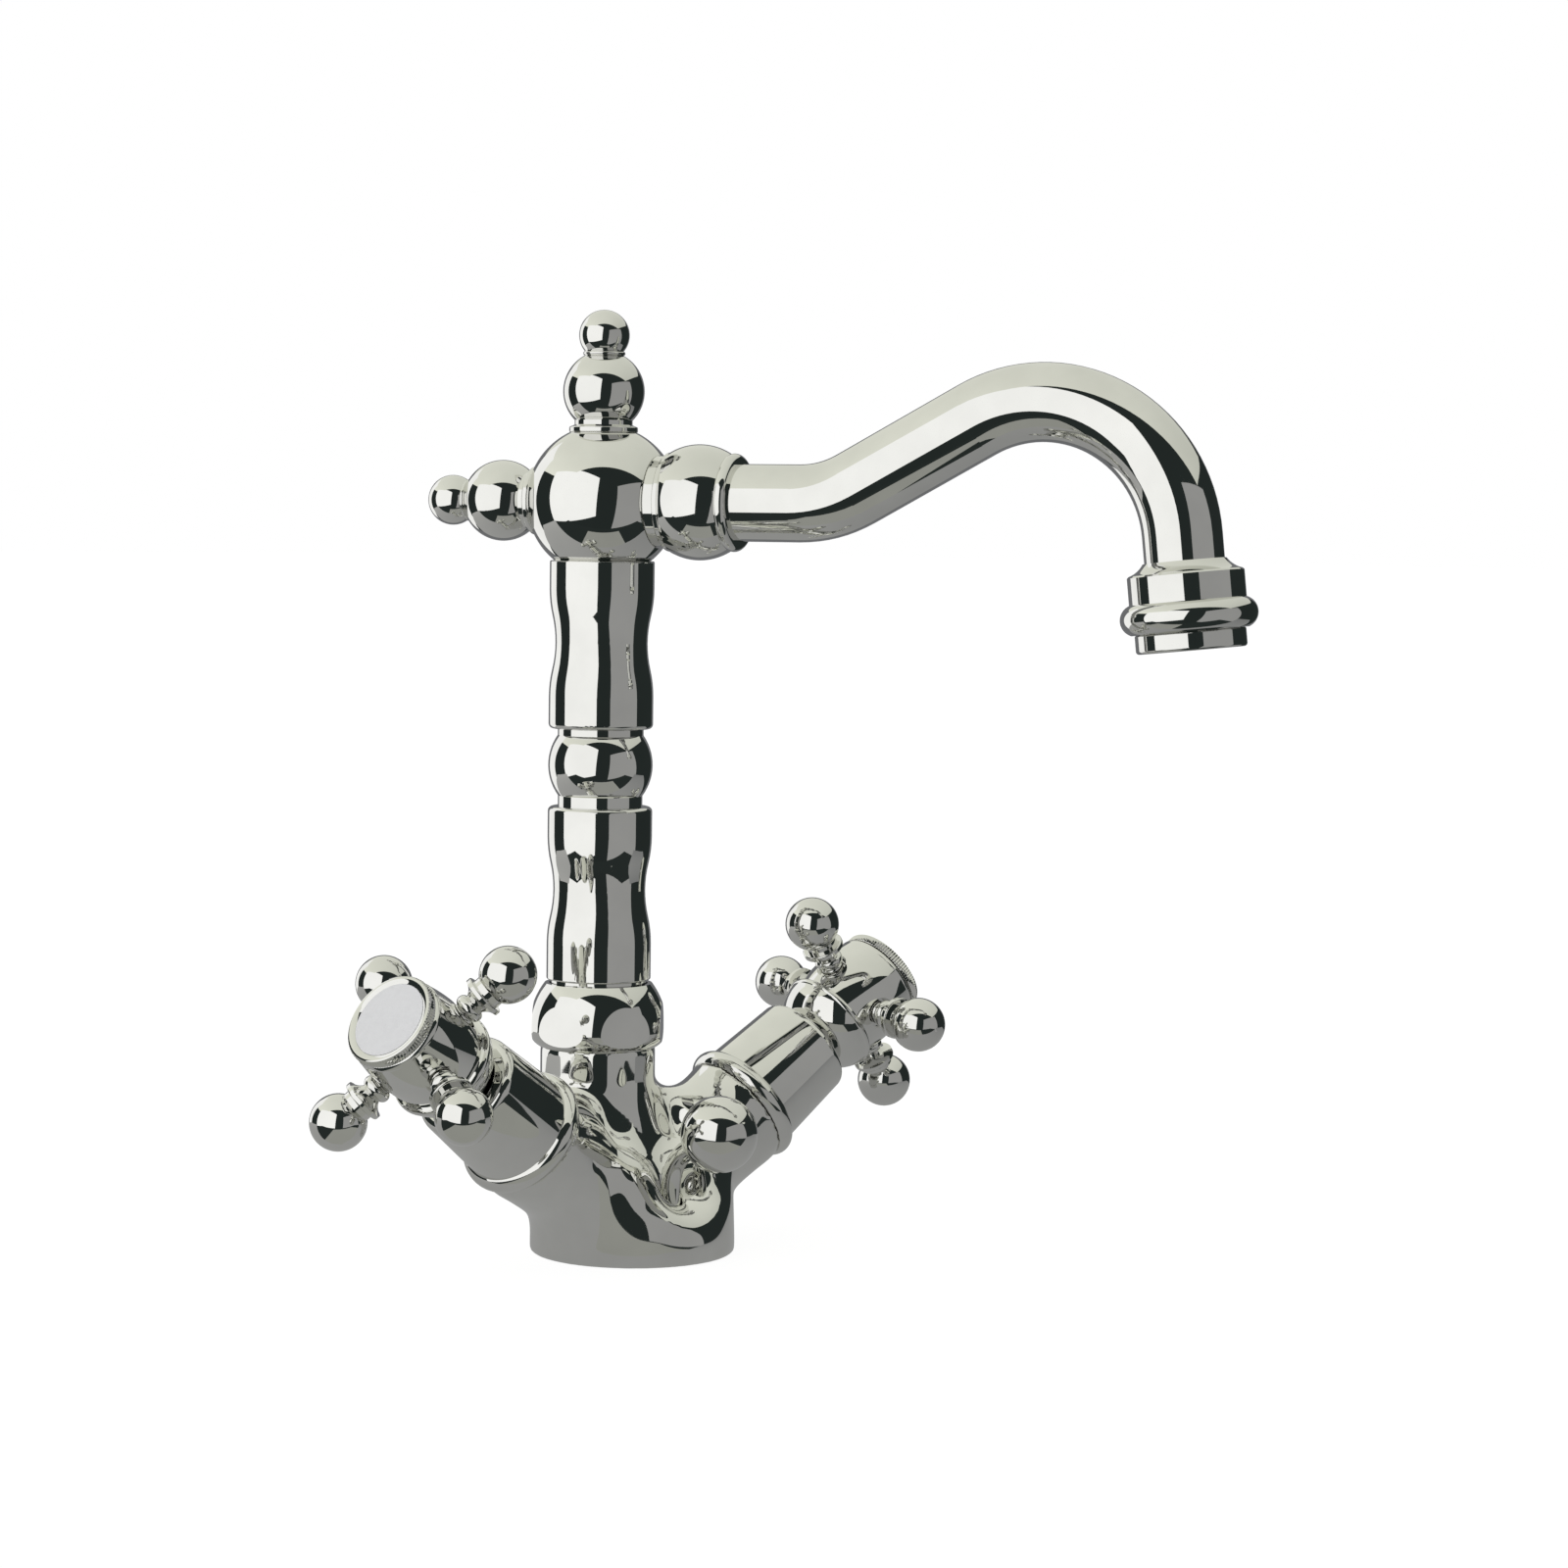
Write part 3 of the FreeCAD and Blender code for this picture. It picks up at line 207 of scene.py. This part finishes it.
def milled_ring(name, seat, axis):
    """A toothed ring whose side starts at seat and rises along axis."""
    bpy.ops.object.select_all(action="DESELECT")
    corners = 2 * TEETH
    first_radius, first_height = OUTLINE[0]
    bpy.ops.mesh.primitive_circle_add(vertices=corners, radius=first_radius * MM,
                                      location=(0, 0, first_height * MM))
    ring = bpy.context.object
    ring.name = name
    bpy.ops.object.transform_apply(location=True)
    bpy.ops.object.mode_set(mode="EDIT")
    bpy.ops.mesh.select_mode(type="VERT")
    bpy.ops.mesh.select_all(action="SELECT")
    for (radius, height), (next_radius, next_height) in zip(OUTLINE, OUTLINE[1:]):
        bpy.ops.mesh.extrude_edges_indiv()
        bpy.ops.transform.resize(value=(next_radius / radius, next_radius / radius, 1))
        bpy.ops.transform.translate(value=(0, 0, (next_height - height) * MM))
    bpy.ops.mesh.select_all(action="DESELECT")
    bpy.ops.mesh.select_non_manifold()
    bpy.ops.mesh.bridge_edge_loops()
    bpy.ops.mesh.select_all(action="DESELECT")
    bpy.ops.object.mode_set(mode="OBJECT")
    for corner in ring.data.vertices:
        x, y = corner.co.xy / MM
        place = round(math.atan2(y, x) / math.tau * corners)
        corner.select = math.hypot(x, y) > TOOTHED_FROM_R and place % 2 == 1
    bpy.ops.object.mode_set(mode="EDIT")
    shrink = 1 - TOOTH_DEPTH / RING_R
    bpy.ops.transform.resize(value=(shrink, shrink, 1))
    bpy.ops.mesh.select_all(action="SELECT")
    bpy.ops.mesh.normals_make_consistent(inside=False)
    bpy.ops.object.mode_set(mode="OBJECT")
    ring.matrix_world = Matrix.Translation(seat) @ axis.to_track_quat("Z", "Y").to_matrix().to_4x4()
    bpy.ops.object.transform_apply(location=True, rotation=True, scale=True)
    bpy.ops.object.shade_smooth_by_angle(angle=math.radians(32))
    ring.data.materials.append(turned_chrome)
    return ring


turns = {joint["child"]: joint for joint in frame["joints"]}
for side in ("hot", "cold"):
    turn = turns[side + "_handle"]
    axis = Vector(turn["axis"]).normalized()
    ring = milled_ring(side + "_milled_ring", Vector(turn["pos_m"]) + axis * RING_SEAT * MM, axis)
    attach(ring, side + "_handle")
    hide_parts(side + "_index_ring")
    print(ring.name, "has", len(ring.data.polygons), "faces")

# %% [markdown]
# ## The polished body
# The real body is cast in one piece, ground and polished by hand, so its arms, foot and socket run into one
# another like poured metal. The solid has the same forms with small machine fillets, which a mirror finish
# would show as creases. Sculpting by hand would take long, so the new skin grows from a copy of the solid's
# mesh. First come the two forms that it lacks: a flared skirt in front of the socket, which is half of a
# cone, and two full flanks beside the lift rod, which are tall balls cut off inside the foot.

# %% Skirt and flanks
# all lengths in mm
COLUMN_Y = 13.2
SKIRT_LOW, SKIRT_HIGH = 17.0, 39.5
SKIRT_R = 13.9
SKIRT_FLARE = math.radians(22)
FLANK_X, FLANK_Y, FLANK_Z = 12.0, -9.0, 12.0
FLANK_R, FLANK_HALF_HEIGHT = 10.0, 16.0
FLANK_LOW = 3.0


def slice_off(point, normal):
    """Cut the active object at a plane, drop what lies on the normal's side and close the cut."""
    bpy.ops.object.mode_set(mode="EDIT")
    bpy.ops.mesh.select_all(action="SELECT")
    bpy.ops.mesh.bisect(plane_co=point, plane_no=normal, use_fill=True, clear_outer=True)
    bpy.ops.object.mode_set(mode="OBJECT")


bpy.ops.object.select_all(action="DESELECT")
skirt_base = SKIRT_R + (SKIRT_HIGH - SKIRT_LOW) * math.tan(SKIRT_FLARE)
bpy.ops.mesh.primitive_cone_add(vertices=256, radius1=skirt_base * MM, radius2=SKIRT_R * MM,
                                depth=(SKIRT_HIGH - SKIRT_LOW) * MM,
                                location=(0, COLUMN_Y * MM, (SKIRT_HIGH + SKIRT_LOW) / 2 * MM))
bpy.ops.object.transform_apply(location=True)
slice_off((0, COLUMN_Y * MM, 0), (0, 1, 0))
fills = [bpy.context.object]
for flank_side in (-1, 1):
    bpy.ops.mesh.primitive_uv_sphere_add(segments=96, ring_count=64, radius=FLANK_R * MM,
                                         location=(flank_side * FLANK_X * MM, FLANK_Y * MM, FLANK_Z * MM))
    flank = bpy.context.object
    flank.scale.z = FLANK_HALF_HEIGHT / FLANK_R
    bpy.ops.object.transform_apply(location=True, rotation=True, scale=True)
    slice_off((0, 0, FLANK_LOW * MM), (0, 0, -1))
    fills.append(flank)
print("made a skirt", round(2 * skirt_base, 1), "mm wide and", len(fills) - 1, "flanks")

# %% [markdown]
# The pieces now overlap like lumps of clay. A voxel remesh keeps only their common outside and gives it
# small faces of one size, which is what the smoothing of the next step needs.

# %% One skin
SKIN_GRAIN = 0.6
body = bpy.data.objects.new("polished_body", nodes["body_casting"].data.copy())
scene.collection.objects.link(body)
bpy.context.view_layer.objects.active = body
for piece in (body, *fills):
    piece.select_set(True)
bpy.ops.object.join()
bpy.ops.object.mode_set(mode="EDIT")
bpy.ops.mesh.select_all(action="SELECT")
bpy.ops.mesh.remove_doubles(threshold=0.001 * MM)
bpy.ops.object.mode_set(mode="OBJECT")
skin = body.modifiers.new("skin", "REMESH")
skin.mode = "VOXEL"
skin.voxel_size = SKIN_GRAIN * MM
bpy.ops.object.modifier_apply(modifier="skin")
print(body.name, "has", len(body.data.polygons), "faces")

# %% [markdown]
# Smoothing draws each corner towards its neighbours, so many rounds of it let the saddle flow. A vertex
# group says how free each corner is: the foot's edge, the neck under the nut, the seats of the shrouds and
# the hole of the rod stay where the solid has them. A few last rounds over everything even out the grain.

# %% Let the saddle flow
SADDLE_ROUNDS, EVEN_ROUNDS = 330, 6
ARM_RISE = math.radians(34.7)
ARM_MEET_Z = 7.4
ROD_Y = -13.6
# each pair says where a hold begins to change and where the change is complete, in mm
FOOT_EDGE, NECK, SHROUD_SEAT, ROD_HOLE = (3, 9), (36, 42), (33, 39), (3.2, 5)


def ease(value, start, end):
    """0 before start, 1 after end and a soft step between them."""
    share = min(1, max(0, (value - start) / (end - start)))
    return share * share * (3 - 2 * share)


saddle = body.vertex_groups.new(name="saddle")
for corner in body.data.vertices:
    x, y, z = corner.co / MM
    along = abs(x) * math.cos(ARM_RISE) + (z - ARM_MEET_Z) * math.sin(ARM_RISE)
    free = ease(z, *FOOT_EDGE) * (1 - ease(z, *NECK)) * (1 - ease(along, *SHROUD_SEAT))
    free *= ease(math.hypot(x, y - ROD_Y), *ROD_HOLE)
    if free > 0.001:
        saddle.add([corner.index], free, "REPLACE")
for group, rounds in (("saddle", SADDLE_ROUNDS), ("", EVEN_ROUNDS)):
    flow = body.modifiers.new("flow", "SMOOTH")
    flow.factor = 0.5
    flow.iterations = rounds
    flow.vertex_group = group
    bpy.ops.object.modifier_apply(modifier="flow")
bpy.ops.object.shade_smooth_by_angle(angle=math.radians(40))
body.data.materials.clear()
body.data.materials.append(cast_chrome)
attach(body, "body")
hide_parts("body_casting")
print("smoothed", body.name, "in", SADDLE_ROUNDS, "rounds")

# %% [markdown]
# ## The camera
# The picture was worked out from circles and straight lines of the object: a 90 mm lens nearly a metre
# away, slightly above the outlet, turned to the front left corner and leaning by less than a degree.

# %% Camera
COLUMN = Vector((0, COLUMN_Y * MM, 0))
RIGHT = Vector((0.7479, -0.6638, 0))
AWAY = Vector((0.6638, 0.7479, 0))
UP = Vector((0, 0, 1))
# the eye's distance and height in mm, and how many pixels a millimetre has at the column
EYE_DISTANCE, EYE_HEIGHT = 952.09, 176.4
PIXELS_PER_MM = 4.2
IMAGE_WIDTH = 1600
SENSOR_WIDTH = 36
yaw, pitch, roll = (math.radians(a) for a in (2.69, 3.80, 0.72))
eye = COLUMN - AWAY * EYE_DISTANCE * MM + UP * EYE_HEIGHT * MM
ahead = RIGHT * math.sin(yaw) + AWAY * math.cos(yaw)
look = ahead * math.cos(pitch) - UP * math.sin(pitch)
level = RIGHT * math.cos(yaw) - AWAY * math.sin(yaw)
upright = level.cross(look)
rightward = level * math.cos(roll) + upright * math.sin(roll)
top = upright * math.cos(roll) - level * math.sin(roll)
bpy.ops.object.camera_add(location=eye)
camera = bpy.context.object
camera.name = "front_left_view"
camera.matrix_world = Matrix((rightward, top, -look)).transposed().to_4x4()
camera.matrix_world.translation = eye
camera.data.sensor_width = SENSOR_WIDTH
camera.data.lens = SENSOR_WIDTH * PIXELS_PER_MM * EYE_DISTANCE / IMAGE_WIDTH
scene.camera = camera
print("camera at", [round(c, 3) for c in eye], "with a", round(camera.data.lens, 1), "mm lens")

# %% [markdown]
# ## The studio
# A mirror shows the room around it, so chrome is lit by building the room. A softbox stands to the left of
# the camera, a grey panel to the right and a white strip behind on the left. A pale cloth hangs overhead.
# A grey table lies under the tap, with a smaller card and a dark cloth in front of it. The cards show in
# reflections and give light, and the camera doesn't see them, so every view keeps its plain background.

# %% Card helpers
BALL = COLUMN + UP * 0.181
CARD_AWAY = 1.2
FLAT = 0.99


def glow(name, code, strength, painted_falloff_to=None):
    """Even light of one colour, or a painted falloff of light towards a second colour along the card's width."""
    material = bpy.data.materials.new(name)
    material.use_nodes = True
    tree = material.node_tree
    tree.nodes.clear()
    light = node(tree, "ShaderNodeEmission", {"Color": paint(code), "Strength": strength})
    if painted_falloff_to:
        # painted falloff of light: the card's glow runs from the first colour at one end to the second at the
        # other
        place = node(tree, "ShaderNodeTexCoord")
        along = node(tree, "ShaderNodeSeparateXYZ", {0: place.outputs["Generated"]})
        change = node(tree, "ShaderNodeValToRGB", {"Fac": along.outputs["X"]})
        change.color_ramp.elements[0].color = paint(code)
        change.color_ramp.elements[1].color = paint(painted_falloff_to)
        tree.links.new(change.outputs["Color"], light.inputs["Color"])
    node(tree, "ShaderNodeOutputMaterial", {"Surface": light.outputs[0]})
    return material


def toward(azimuth, elevation):
    """Direction from the tap: azimuth 0 points at the camera, positive to the picture's right."""
    a, e = math.radians(azimuth), math.radians(elevation)
    return (RIGHT * math.sin(a) - AWAY * math.cos(a)) * math.cos(e) + UP * math.sin(e)


def card(name, centre, facing, width, height, material):
    """A flat card that reflections and light see and the camera doesn't."""
    bpy.ops.object.select_all(action="DESELECT")
    bpy.ops.mesh.primitive_plane_add(size=1, location=centre)
    made = bpy.context.object
    made.name = name
    across = UP.cross(facing).normalized() if abs(facing.z) < FLAT else RIGHT
    turn = Matrix((across, facing.cross(across), facing)).transposed().to_4x4()
    made.matrix_world = Matrix.Translation(centre) @ turn @ Matrix.Diagonal((width, height, 1, 1))
    made.data.materials.append(material)
    made.visible_camera = False
    made.visible_shadow = False
    return made


def standing_card(name, azimuth, elevation, width, height, material):
    """A card on a stand that faces the ball on top of the column."""
    way = toward(azimuth, elevation)
    return card(name, BALL + way * CARD_AWAY, -way, width, height, material)


print("cards stand", CARD_AWAY, "m from the ball")

# %% Studio cards
TABLE_TOP = COLUMN - UP * 0.002
CLOTH_TOP = COLUMN - UP * 0.003
cards = [
    standing_card("softbox", -48, 8, 1.95, 1.68, glow("softbox_cloth", "#ffffff", 1.15)),
    standing_card("grey_panel", 53, -11, 1.55, 1.75, glow("grey_card", "#a0a0a0", 1.0)),
    standing_card("rear_strip", -135, 3, 0.65, 1.6, glow("strip_cloth", "#ffffff", 1.1)),
    # the overhead cloth's light is a painted falloff: brighter on the left, towards the softbox, and greyer to the
    # right
    card("overhead_cloth_painted_falloff", BALL + UP * 0.9 + AWAY * 0.8, -UP, 3.54, 3.0,
         glow("overhead_cloth_painted_falloff", "#fafbf0", 1.0, "#cfd1c8")),
    # the table's light is a painted falloff: lighter grey on the left, towards the softbox, and darker to the
    # right
    card("grey_table", TABLE_TOP + AWAY * 0.0675, UP, 0.90, 0.265,
         glow("grey_table_painted_falloff", "#b6b6b5", 1.0, "#828384")),
    card("table_front", TABLE_TOP - AWAY * 0.12 + RIGHT * 0.005, UP, 0.19, 0.11,
         glow("front_card", "#9c9d98", 1.0)),
    card("dark_cloth", CLOTH_TOP - AWAY * 0.14, UP, 0.66, 0.15, glow("dark_cloth", "#2a302f", 1.0)),
]
print("cards:", [made.name for made in cards])

# %% [markdown]
# Between the cards a mirror sees the rest of the room. A wide drum of dark walls gives chrome its deep
# stripes, and a grey backdrop behind the tap keeps its rims from melting into the white ground. The drum
# is open at the top and shows in reflections alone.

# %% Dark walls
WALL_R, WALL_HEIGHT, WALL_MIDDLE = 2.4, 8.0, 2.0
BACKDROP_FROM = 0.86
bpy.ops.object.select_all(action="DESELECT")
bpy.ops.mesh.primitive_cylinder_add(vertices=72, radius=WALL_R, depth=WALL_HEIGHT, end_fill_type="NGON",
                                    location=(0, 0, WALL_MIDDLE))
walls = bpy.context.object
walls.name = "dark_walls"
walls.data.materials.append(glow("dark_wall", "#282e2d", 1.0))
walls.data.materials.append(glow("grey_backdrop", "#747578", 1.0))
bpy.ops.object.mode_set(mode="EDIT")
bpy.ops.mesh.select_all(action="DESELECT")
bpy.ops.object.mode_set(mode="OBJECT")
for face in walls.data.polygons:
    if face.normal.z > 0.5:
        face.select = True
    elif face.normal.z > -0.5 and face.normal.dot(AWAY) > BACKDROP_FROM:
        face.material_index = 1
bpy.ops.object.mode_set(mode="EDIT")
bpy.ops.mesh.delete(type="FACE")
bpy.ops.object.mode_set(mode="OBJECT")
walls.visible_camera = False
walls.visible_shadow = False
walls.visible_diffuse = False
print("walls have", len(walls.data.polygons), "faces")

# %% [markdown]
# The floor is pale paper. To the camera most of it is plain white, so it meets the white background without
# a line, and the rest is paper that takes the soft shadow under the tap. Reflections see the table's card
# instead of the floor.

# %% Pale floor and white background
WHITE_SHARE = 0.85
bpy.ops.object.select_all(action="DESELECT")
bpy.ops.mesh.primitive_plane_add(size=30, location=(0, 0, 0))
floor = bpy.context.object
floor.name = "pale_floor"
pale = bpy.data.materials.new("pale_floor_paper")
pale.use_nodes = True
tree = pale.node_tree
tree.nodes.clear()
rays = node(tree, "ShaderNodeLightPath")
paper = node(tree, "ShaderNodeBsdfDiffuse", {"Color": paint("#e9e9e7")})
bright = node(tree, "ShaderNodeEmission", {"Color": paint("#ffffff"), "Strength": 1.09})
share = node(tree, "ShaderNodeMath", {0: rays.outputs["Is Camera Ray"], 1: WHITE_SHARE}, operation="MULTIPLY")
both = node(tree, "ShaderNodeMixShader", {0: share.outputs[0], 1: paper.outputs[0], 2: bright.outputs[0]})
node(tree, "ShaderNodeOutputMaterial", {"Surface": both.outputs[0]})
floor.data.materials.append(pale)
floor.visible_glossy = False

world = bpy.data.worlds.new("white_studio")
scene.world = world
world.use_nodes = True
backdrop = world.node_tree.nodes["Background"]
backdrop.inputs["Color"].default_value = paint("#ffffff")
backdrop.inputs["Strength"].default_value = 1.0
scene.view_settings.view_transform = "Standard"
print("made", floor.name, "and", world.name)
